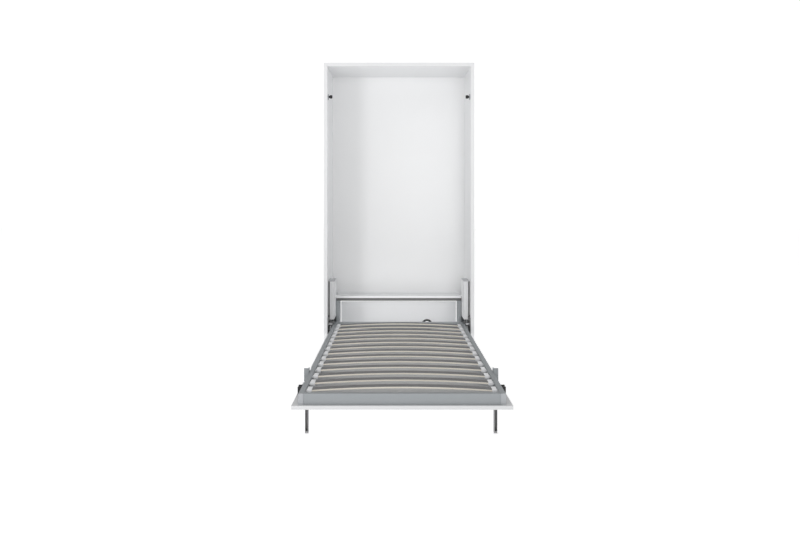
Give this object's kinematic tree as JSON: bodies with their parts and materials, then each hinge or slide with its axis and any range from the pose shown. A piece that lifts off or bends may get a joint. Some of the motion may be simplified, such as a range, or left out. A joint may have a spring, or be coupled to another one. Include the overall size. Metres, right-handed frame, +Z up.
{
  "type": "wall bed",
  "caption": "Vertical fold-down single wall bed: white carcass, steel frame with sprung slats on side pivots, folding legs, gas springs and a shelf.",
  "frame": {"origin": "bottom centre of the open bed's box, on the floor", "axes": "+Z up, +Y towards the wall, +X to the right of someone who stands at the bed's foot and looks at the wall"},
  "size_m": [1.05, 2.176, 2.19],
  "materials": {
    "white_board": "white melamine-faced board, satin gloss",
    "beech": "plain turned wood",
    "black_plastic": "fine moulded texture",
    "dark_steel": "dark grey powder coat",
    "silver_steel": "silver-grey powder coat",
    "silver_plastic": "grey moulded",
    "zinc": "bright zinc plate",
    "white_plastic": "smooth moulded",
    "black_steel": "black enamel",
    "chrome": "ground and plated",
    "slat_wood": "birch veneer strip with a dark grey foil on its faces and bare edges"
  },
  "bodies": {
    "carcass": {"side_left": "white_board", "side_right": "white_board", "top_board": "white_board", "carcass_dowels": "beech", "back_panel_upper": "white_board", "back_panel_lower": "white_board", "cable_grommet": "black_plastic", "plinth_board": "white_board", "floor_rail": "white_board", "shelf_board": "white_board", "shelf_crossbar": "dark_steel", "upright_left": "silver_steel", "upright_right": "silver_steel", "wall_brackets": "zinc", "wall_plate_left": "dark_steel", "wall_plate_right": "dark_steel", "plate_screws": "zinc", "pivot_studs": "zinc", "spring_studs": "zinc", "gas_cover_left": "white_plastic", "gas_cover_right": "white_plastic", "cover_caps": "silver_plastic", "latch_flanges": "silver_plastic", "latch_knobs": "black_plastic"},
    "bed": {"side_rail_left": "silver_steel", "side_rail_right": "silver_steel", "foot_rail": "silver_steel", "head_rail": "silver_steel", "rail_end_caps": "silver_plastic", "front_panel": "white_board", "panel_brackets": "zinc", "pivot_plate_left": "dark_steel", "pivot_plate_right": "dark_steel", "pivot_bushes": "zinc", "catch_blocks": "black_plastic", "leg_bracket_left": "silver_steel", "leg_bracket_right": "silver_steel", "leg_pins": "zinc", "slat_holders_left": "white_plastic", "slat_holders_right": "white_plastic", "slat_01": "slat_wood", "slat_02": "slat_wood", "slat_03": "slat_wood", "slat_04": "slat_wood", "slat_05": "slat_wood", "slat_06": "slat_wood", "slat_07": "slat_wood", "slat_08": "slat_wood", "slat_09": "slat_wood", "slat_10": "slat_wood", "slat_11": "slat_wood", "slat_12": "slat_wood", "slat_13": "slat_wood", "slat_14": "slat_wood"},
    "leg_left": {"leg_left": "silver_steel"},
    "leg_right": {"leg_right": "silver_steel"},
    "spring_body_left": {"gas_cylinder_left": "black_steel"},
    "spring_body_right": {"gas_cylinder_right": "black_steel"},
    "spring_rod_left": {"gas_rod_left": "chrome"},
    "spring_rod_right": {"gas_rod_right": "chrome"}
  },
  "joints": [
    {"name": "bed_fold", "type": "hinge", "parent": "carcass", "child": "bed", "pos_m": [0, 0.718, 0.315], "axis": [-1, 0, 0], "range_deg": [0, 90]},
    {"name": "leg_fold_left", "type": "hinge", "parent": "bed", "child": "leg_left", "pos_m": [-0.478, -0.661, 0.298], "axis": [1, 0, 0], "range_deg": [0, 90]},
    {"name": "spring_swing_left", "type": "hinge", "parent": "carcass", "child": "spring_body_left", "pos_m": [-0.477, 0.818, 0.6], "axis": [-1, 0, 0], "range_deg": [0, 16]},
    {"name": "spring_stroke_left", "type": "slide", "parent": "spring_body_left", "child": "spring_rod_left", "axis": [0, 0, -1], "range_m": [0, 0.1057]},
    {"name": "leg_fold_right", "type": "hinge", "parent": "bed", "child": "leg_right", "pos_m": [0.478, -0.661, 0.298], "axis": [1, 0, 0], "range_deg": [0, 90]},
    {"name": "spring_swing_right", "type": "hinge", "parent": "carcass", "child": "spring_body_right", "pos_m": [0.477, 0.818, 0.6], "axis": [-1, 0, 0], "range_deg": [0, 16]},
    {"name": "spring_stroke_right", "type": "slide", "parent": "spring_body_right", "child": "spring_rod_right", "axis": [0, 0, -1], "range_m": [0, 0.1057]}
  ],
  "couplings": [
    {"joint": "leg_fold_left", "follows": "bed_fold", "ratio": 1},
    {"joint": "spring_swing_left", "follows": "bed_fold", "ratio": 0.17717},
    {"joint": "spring_stroke_left", "follows": "bed_fold", "m_per_rad": 0.0671},
    {"joint": "leg_fold_right", "follows": "bed_fold", "ratio": 1},
    {"joint": "spring_swing_right", "follows": "bed_fold", "ratio": 0.17717},
    {"joint": "spring_stroke_right", "follows": "bed_fold", "m_per_rad": 0.0671}
  ]
}
